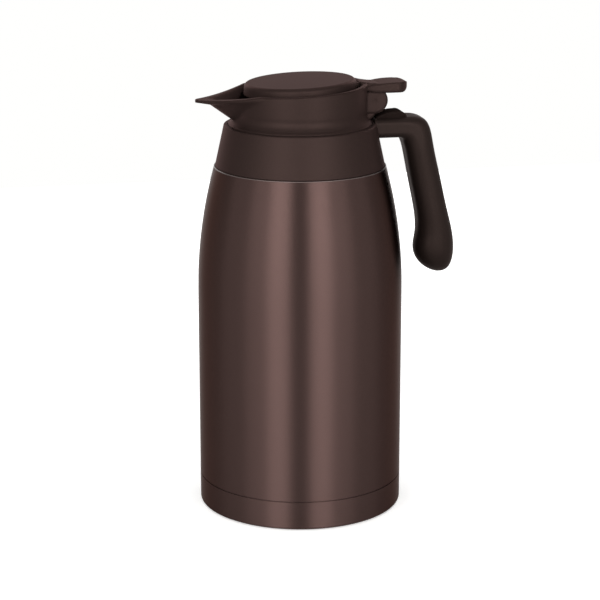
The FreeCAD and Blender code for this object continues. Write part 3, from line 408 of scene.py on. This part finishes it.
# Collar and cap: injection-moulded brown plastic with a pearl pigment. The mould's spark-eroded
# skin leaves a fine grain, and its edges are slightly rounded.
pearl_share = 0.55
pearl_tint = (1.0, 0.79, 0.775, 1.0)
pearl_scale = 1900.0
pearl_detail = 2.0
plastic_dark = (0.0185, 0.0119, 0.0106, 1.0)
plastic_dark_end = 0.3
plastic_light = (0.0225, 0.0145, 0.0130, 1.0)
plastic_light_start = 0.7
plastic_smooth = 0.50
plastic_rough = 0.58
plastic_edge = 0.0010
edge_samples = 6
spark_strength = 0.12
spark_depth = 0.0001
plastic = bpy.data.materials.new("brown_plastic")
plastic.use_nodes = True
tree = plastic.node_tree
shader = tree.nodes["Principled BSDF"]
shader.inputs["Metallic"].default_value = pearl_share
shader.inputs["Specular IOR Level"].default_value = 0.0
shader.inputs["Specular Tint"].default_value = pearl_tint
place = tree.nodes.new("ShaderNodeTexCoord")
pearl = tree.nodes.new("ShaderNodeTexNoise")
pearl.inputs["Scale"].default_value = pearl_scale
pearl.inputs["Detail"].default_value = pearl_detail
tree.links.new(place.outputs["Object"], pearl.inputs["Vector"])
browns = tree.nodes.new("ShaderNodeValToRGB")
browns.color_ramp.elements[0].position = plastic_dark_end
browns.color_ramp.elements[0].color = plastic_dark
browns.color_ramp.elements[1].position = plastic_light_start
browns.color_ramp.elements[1].color = plastic_light
tree.links.new(pearl.outputs[0], browns.inputs[0])
tree.links.new(browns.outputs[0], shader.inputs["Base Color"])
satin = tree.nodes.new("ShaderNodeMapRange")
satin.inputs["To Min"].default_value = plastic_smooth
satin.inputs["To Max"].default_value = plastic_rough
tree.links.new(pearl.outputs[0], satin.inputs["Value"])
tree.links.new(satin.outputs[0], shader.inputs["Roughness"])
soft_edge = tree.nodes.new("ShaderNodeBevel")
soft_edge.samples = edge_samples
soft_edge.inputs["Radius"].default_value = plastic_edge
grain = tree.nodes.new("ShaderNodeBump")
grain.inputs["Strength"].default_value = spark_strength
grain.inputs["Distance"].default_value = spark_depth
tree.links.new(pearl.outputs[0], grain.inputs["Height"])
tree.links.new(soft_edge.outputs[0], grain.inputs["Normal"])
tree.links.new(grain.outputs[0], shader.inputs["Normal"])
for name in ("collar", "lid_cap"):
    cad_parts[name].data.materials.clear()
    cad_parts[name].data.materials.append(plastic)

# Lid ring and thumb lever: the same plastic, from moulds whose corners are rounded more, between
# wall, spout and ears and at the end of the lever that the thumb presses.
lid_edge = 0.0030
lid_plastic = plastic.copy()
lid_plastic.name = "lid_plastic"
lid_plastic.node_tree.nodes[soft_edge.name].inputs["Radius"].default_value = lid_edge
for name in ("lid_ring", "thumb_lever"):
    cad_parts[name].data.materials.clear()
    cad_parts[name].data.materials.append(lid_plastic)


# Solid rib of the lid's moulding: drawn across the jug from its outline in the middle plane, with
# rounded edges, in the lid's plastic.
def moulded_rib(name, outline, half, rounding, segments):
    bm = bmesh.new()
    side = bm.faces.new([bm.verts.new((x, -half, z)) for x, z in outline])
    drawn = bmesh.ops.extrude_face_region(bm, geom=[side])
    far_corners = [item for item in drawn["geom"] if isinstance(item, bmesh.types.BMVert)]
    bmesh.ops.translate(bm, vec=(0.0, 2.0 * half, 0.0), verts=far_corners)
    bmesh.ops.bevel(bm, geom=bm.edges[:], offset=rounding, segments=segments, affect="EDGES",
                    profile=0.5, material=-1)
    bmesh.ops.recalc_face_normals(bm, faces=bm.faces[:])
    rib = bpy.data.objects.new(name, bpy.data.meshes.new(name))
    bm.to_mesh(rib.data)
    bm.free()
    bpy.context.scene.collection.objects.link(rib)
    rib.data.materials.append(lid_plastic)
    return rib


# Web below the hinge ears: a solid rib of the lid's moulding that stiffens the ears' roots. Its
# lower edge slopes up from the lid's flared foot.
web_half = 0.00755
web_round = 0.0005
web_segments = 2
web_outline = ((0.0440, 0.2730), (0.0440, 0.2672), (0.0470, 0.2672), (0.0503, 0.2706),
               (0.0503, 0.2730))
web = moulded_rib("ear_web", web_outline, web_half, web_round, web_segments)
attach(web, "lid")

# Neck of the thumb lever: the raised root of the lever's moulding, which runs into the cap's edge
# and stiffens the lever there. It is one with the lever, and tips with the cap.
root_half = 0.0090
root_round = 0.0006
root_segments = 3
root_outline = ((0.0395, 0.2890), (0.0440, 0.2890), (0.0530, 0.2908), (0.0530, 0.2921),
                (0.0480, 0.2924), (0.0440, 0.2930), (0.0395, 0.2938))
lever_neck = moulded_rib("lever_neck", root_outline, root_half, root_round, root_segments)
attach(lever_neck, "tipping_cap")

# Handle: the same kind of plastic, a little darker and more matt, moulded in two halves of a
# mould. A fine parting line runs round it in its middle plane.
handle_pearl = 0.30
handle_shine = 0.03
handle_tint = (0.72, 0.60, 0.58, 1.0)
handle_scale = 1500.0
handle_detail = 3.0
handle_dark = (0.0150, 0.0100, 0.0087, 1.0)
handle_dark_end = 0.3
handle_light = (0.0190, 0.0126, 0.0110, 1.0)
handle_light_start = 0.7
handle_smooth = 0.46
handle_rough = 0.56
parting_half = 0.00010
parting_strength = 0.35
parting_depth = 0.0001
grain_strength = 0.15
grain_depth = 0.0001
handle_skin = bpy.data.materials.new("handle_plastic")
handle_skin.use_nodes = True
tree = handle_skin.node_tree
shader = tree.nodes["Principled BSDF"]
shader.inputs["Metallic"].default_value = handle_pearl
shader.inputs["Specular IOR Level"].default_value = handle_shine
shader.inputs["Specular Tint"].default_value = handle_tint
place = tree.nodes.new("ShaderNodeTexCoord")
grain_noise = tree.nodes.new("ShaderNodeTexNoise")
grain_noise.inputs["Scale"].default_value = handle_scale
grain_noise.inputs["Detail"].default_value = handle_detail
tree.links.new(place.outputs["Object"], grain_noise.inputs["Vector"])
browns = tree.nodes.new("ShaderNodeValToRGB")
browns.color_ramp.elements[0].position = handle_dark_end
browns.color_ramp.elements[0].color = handle_dark
browns.color_ramp.elements[1].position = handle_light_start
browns.color_ramp.elements[1].color = handle_light
tree.links.new(grain_noise.outputs[0], browns.inputs[0])
tree.links.new(browns.outputs[0], shader.inputs["Base Color"])
satin = tree.nodes.new("ShaderNodeMapRange")
satin.inputs["To Min"].default_value = handle_smooth
satin.inputs["To Max"].default_value = handle_rough
tree.links.new(grain_noise.outputs[0], satin.inputs["Value"])
tree.links.new(satin.outputs[0], shader.inputs["Roughness"])
split = tree.nodes.new("ShaderNodeSeparateXYZ")
tree.links.new(place.outputs["Object"], split.inputs[0])
off_middle = tree.nodes.new("ShaderNodeMath")
off_middle.operation = "ABSOLUTE"
tree.links.new(split.outputs["Y"], off_middle.inputs[0])
parting = tree.nodes.new("ShaderNodeMapRange")
parting.inputs["From Max"].default_value = parting_half
parting.inputs["To Min"].default_value = 1.0
parting.inputs["To Max"].default_value = 0.0
tree.links.new(off_middle.outputs[0], parting.inputs["Value"])
line = tree.nodes.new("ShaderNodeBump")
line.inputs["Strength"].default_value = parting_strength
line.inputs["Distance"].default_value = parting_depth
tree.links.new(parting.outputs[0], line.inputs["Height"])
grain = tree.nodes.new("ShaderNodeBump")
grain.inputs["Strength"].default_value = grain_strength
grain.inputs["Distance"].default_value = grain_depth
tree.links.new(grain_noise.outputs[0], grain.inputs["Height"])
tree.links.new(line.outputs[0], grain.inputs["Normal"])
tree.links.new(grain.outputs[0], shader.inputs["Normal"])
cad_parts["handle"].data.materials.clear()
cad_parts["handle"].data.materials.append(handle_skin)

# Stop pad: a block set into the handle's root, where the lever comes to rest. It is moulded by
# itself, with a matt skin. Its own brown is painted darker, as painted shade for the shadow the
# lever throws on it.
bloom_scale = 900.0
bloom_detail = 4.0
# Painted shade: these browns are darkened for the lever's shadow over the pad.
pad_shaded_deep = (0.020, 0.0134, 0.0117, 1.0)
pad_shaded_pale = (0.026, 0.0174, 0.0152, 1.0)
pad_smooth = 0.62
pad_rough = 0.78
pad_shade_skin = bpy.data.materials.new("dark_elastomer")
pad_shade_skin.use_nodes = True
tree = pad_shade_skin.node_tree
shader = tree.nodes["Principled BSDF"]
shader.inputs["Specular IOR Level"].default_value = 0.0
place = tree.nodes.new("ShaderNodeTexCoord")
bloom = tree.nodes.new("ShaderNodeTexNoise")
bloom.inputs["Scale"].default_value = bloom_scale
bloom.inputs["Detail"].default_value = bloom_detail
tree.links.new(place.outputs["Object"], bloom.inputs["Vector"])
# Painted shade: the noise mixes the pad's two darkened browns.
shades = tree.nodes.new("ShaderNodeValToRGB")
shades.color_ramp.elements[0].color = pad_shaded_deep
shades.color_ramp.elements[1].color = pad_shaded_pale
tree.links.new(bloom.outputs[0], shades.inputs[0])
tree.links.new(shades.outputs[0], shader.inputs["Base Color"])
matt = tree.nodes.new("ShaderNodeMapRange")
matt.inputs["To Min"].default_value = pad_smooth
matt.inputs["To Max"].default_value = pad_rough
tree.links.new(bloom.outputs[0], matt.inputs["Value"])
tree.links.new(matt.outputs[0], shader.inputs["Roughness"])
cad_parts["lever_stop_pad"].data.materials.clear()
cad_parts["lever_stop_pad"].data.materials.append(pad_shade_skin)

# Inner mouldings: the stopper tube, the cap's bowl and the seal's retainer, in a dark plain
# plastic for hot drinks, with the flow lines of the moulding in its gloss.
inner_shine = 0.10
flow_scale = 260.0
flow_detail = 4.0
inner_dark = (0.020, 0.0150, 0.0135, 1.0)
inner_light = (0.027, 0.0205, 0.0185, 1.0)
inner_smooth = 0.30
inner_rough = 0.44
inner = bpy.data.materials.new("inner_plastic")
inner.use_nodes = True
tree = inner.node_tree
shader = tree.nodes["Principled BSDF"]
shader.inputs["Specular IOR Level"].default_value = inner_shine
place = tree.nodes.new("ShaderNodeTexCoord")
flow = tree.nodes.new("ShaderNodeTexNoise")
flow.inputs["Scale"].default_value = flow_scale
flow.inputs["Detail"].default_value = flow_detail
tree.links.new(place.outputs["Object"], flow.inputs["Vector"])
shades = tree.nodes.new("ShaderNodeValToRGB")
shades.color_ramp.elements[0].color = inner_dark
shades.color_ramp.elements[1].color = inner_light
tree.links.new(flow.outputs[0], shades.inputs[0])
tree.links.new(shades.outputs[0], shader.inputs["Base Color"])
gloss = tree.nodes.new("ShaderNodeMapRange")
gloss.inputs["To Min"].default_value = inner_smooth
gloss.inputs["To Max"].default_value = inner_rough
tree.links.new(flow.outputs[0], gloss.inputs["Value"])
tree.links.new(gloss.outputs[0], shader.inputs["Roughness"])
for name in ("stopper_tube", "cap_liner", "seal_retainer"):
    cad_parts[name].data.materials.clear()
    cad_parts[name].data.materials.append(inner)

# Thread on the stopper tube: three coarse ribs moulded round it, each nearly a third of a turn,
# with the lead of the lid's screw motion.
thread_starts = 3
thread_lead = 0.024
thread_turn = math.radians(112.0)
thread_foot = 0.2462
rib_root = 0.03600
rib_crest = 0.03636
rib_half = 0.0011
crest_half = 0.0007
thread_steps = 40
bm = bmesh.new()
for start in range(thread_starts):
    aside = Matrix.Rotation(2.0 * math.pi * start / thread_starts, 4, "Z")
    corners = ((rib_root, -rib_half), (rib_crest, -crest_half), (rib_crest, crest_half),
               (rib_root, rib_half))
    loop = [bm.verts.new(aside @ Vector((r, 0.0, thread_foot + rib_half + z))) for r, z in corners]
    sides = [bm.edges.new((loop[i], loop[(i + 1) % len(loop)])) for i in range(len(loop))]
    bmesh.ops.spin(bm, geom=loop + sides, cent=(0.0, 0.0, 0.0), axis=(0.0, 0.0, 1.0),
                   dvec=(0.0, 0.0, thread_lead * thread_turn / (2.0 * math.pi) / thread_steps),
                   angle=thread_turn, steps=thread_steps)
bmesh.ops.holes_fill(bm, edges=[border for border in bm.edges if border.is_boundary])
bmesh.ops.recalc_face_normals(bm, faces=bm.faces[:])
thread = bpy.data.objects.new("tube_thread", bpy.data.meshes.new("tube_thread"))
bm.to_mesh(thread.data)
bm.free()
bpy.context.scene.collection.objects.link(thread)
thread.data.materials.append(inner)
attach(thread, "lid")

# Seals: silicone rings under the lid, under the cap and below the collar, grey and slightly
# see-through, with a dusty skin. Each is pressed into its seat.
seal_shine = 0.4
seal_depth_share = 0.15
seal_depth = 0.001
dust_scale = 600.0
dust_detail = 4.0
seal_dark = (0.36, 0.35, 0.34, 1.0)
seal_light = (0.46, 0.45, 0.44, 1.0)
seal_smooth = 0.42
seal_rough = 0.58
silicone = bpy.data.materials.new("silicone")
silicone.use_nodes = True
tree = silicone.node_tree
shader = tree.nodes["Principled BSDF"]
shader.inputs["Specular IOR Level"].default_value = seal_shine
shader.inputs["Subsurface Weight"].default_value = seal_depth_share
shader.inputs["Subsurface Scale"].default_value = seal_depth
place = tree.nodes.new("ShaderNodeTexCoord")
dust = tree.nodes.new("ShaderNodeTexNoise")
dust.inputs["Scale"].default_value = dust_scale
dust.inputs["Detail"].default_value = dust_detail
tree.links.new(place.outputs["Object"], dust.inputs["Vector"])
shades = tree.nodes.new("ShaderNodeValToRGB")
shades.color_ramp.elements[0].color = seal_dark
shades.color_ramp.elements[1].color = seal_light
tree.links.new(dust.outputs[0], shades.inputs[0])
tree.links.new(shades.outputs[0], shader.inputs["Base Color"])
matt = tree.nodes.new("ShaderNodeMapRange")
matt.inputs["To Min"].default_value = seal_smooth
matt.inputs["To Max"].default_value = seal_rough
tree.links.new(dust.outputs[0], matt.inputs["Value"])
tree.links.new(matt.outputs[0], shader.inputs["Roughness"])
for name in ("stopper_gasket", "cap_seal", "collar_gasket"):
    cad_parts[name].data.materials.clear()
    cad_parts[name].data.materials.append(silicone)

# Foam: a rigid insulating disc between cap and liner, pale, with small cells. It is foamed in a
# mould and laid in before the liner closes the cap.
foam_roughness = 0.95
foam_shine = 0.1
cell_scale = 1200.0
cell_strength = 0.4
cell_depth = 0.0003
cell_middle = (0.78, 0.74, 0.62, 1.0)
cell_wall = (0.60, 0.56, 0.45, 1.0)
foam = bpy.data.materials.new("foam")
foam.use_nodes = True
tree = foam.node_tree
shader = tree.nodes["Principled BSDF"]
shader.inputs["Roughness"].default_value = foam_roughness
shader.inputs["Specular IOR Level"].default_value = foam_shine
place = tree.nodes.new("ShaderNodeTexCoord")
cells = tree.nodes.new("ShaderNodeTexVoronoi")
cells.inputs["Scale"].default_value = cell_scale
tree.links.new(place.outputs["Object"], cells.inputs["Vector"])
shades = tree.nodes.new("ShaderNodeValToRGB")
shades.color_ramp.elements[0].color = cell_middle
shades.color_ramp.elements[1].color = cell_wall
tree.links.new(cells.outputs["Distance"], shades.inputs[0])
tree.links.new(shades.outputs[0], shader.inputs["Base Color"])
pores = tree.nodes.new("ShaderNodeBump")
pores.inputs["Strength"].default_value = cell_strength
pores.inputs["Distance"].default_value = cell_depth
tree.links.new(cells.outputs["Distance"], pores.inputs["Height"])
tree.links.new(pores.outputs[0], shader.inputs["Normal"])
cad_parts["cap_foam"].data.materials.clear()
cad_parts["cap_foam"].data.materials.append(foam)
